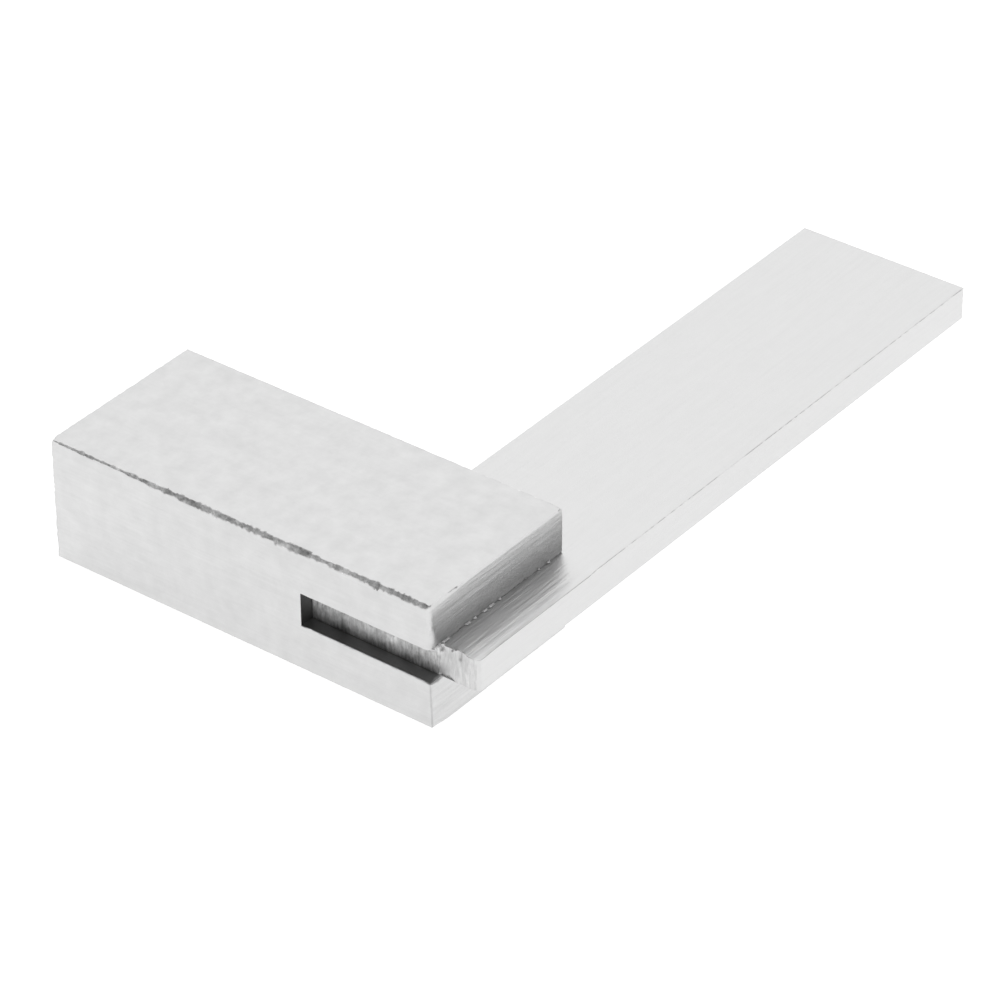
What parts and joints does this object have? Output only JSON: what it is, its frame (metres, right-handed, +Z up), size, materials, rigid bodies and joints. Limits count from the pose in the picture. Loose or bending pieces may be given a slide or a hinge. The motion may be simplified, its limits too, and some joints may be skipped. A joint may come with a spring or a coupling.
{
  "type": "steel square ruler",
  "caption": "Small wide-base steel try square: a thick rectangular stock with a flat blade let into a slot in its end at a right angle, for setting out and checking square edges.",
  "frame": {"origin": "on the blade's outer edge face, level with the stock's inner face and halfway through the thickness, which is where lengths along the blade are measured from", "axes": "+X along the blade towards its tip, +Y along the stock away from the blade, +Z up through the thickness"},
  "size_m": [0.0816, 0.05, 0.0136],
  "materials": {
    "stock_steel": "ground, satin, with a faint mottle on the broad faces and file marks along the broken edges",
    "blade_steel": "fine ground, satin, with milling lines across the buried end",
    "pin_steel": "ground flush with the stock's underside"
  },
  "bodies": {
    "root": {"stock": "stock_steel", "blade": "blade_steel", "pin_outer": "pin_steel", "pin_middle": "pin_steel", "pin_inner": "pin_steel"}
  },
  "joints": []
}
